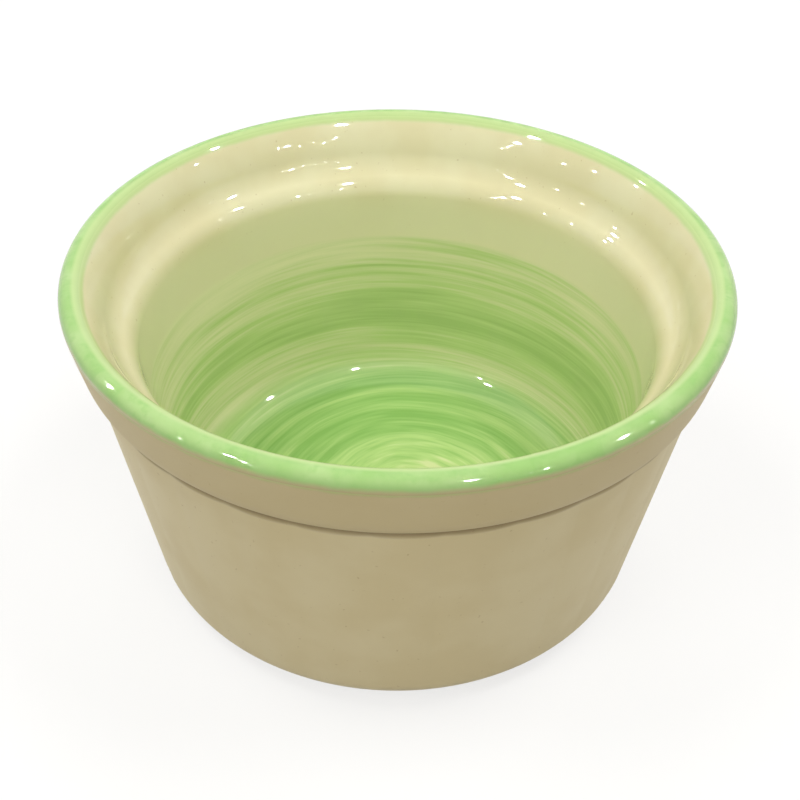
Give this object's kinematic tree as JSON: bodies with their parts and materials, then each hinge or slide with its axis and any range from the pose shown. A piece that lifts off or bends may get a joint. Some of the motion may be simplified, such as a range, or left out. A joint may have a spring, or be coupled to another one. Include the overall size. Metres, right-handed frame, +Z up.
{
  "type": "ramekin",
  "caption": "Round fluted ramekin with a plain flared collar, a stepped inner shoulder and a glazed, brushed well, standing on a bare foot ring.",
  "frame": {"origin": "centre of the plane that the foot ring rests on", "axes": "+Z up along the bowl's axis; +X and +Y level, with a groove between two flutes 2 degrees round from +X"},
  "size_m": [0.102, 0.102, 0.0565],
  "materials": {
    "clay": "matt, bare fired clay",
    "cream_outside": "gloss",
    "green_rim": "gloss",
    "cream_inside": "gloss",
    "green_well": "gloss, brushed in bands",
    "cream_underside": "gloss"
  },
  "bodies": {
    "root": {"clay_body": "clay", "outer_glaze": "cream_outside", "rim_glaze": "green_rim", "inner_glaze": "cream_inside", "well_glaze": "green_well", "recess_glaze": "cream_underside"}
  },
  "joints": []
}
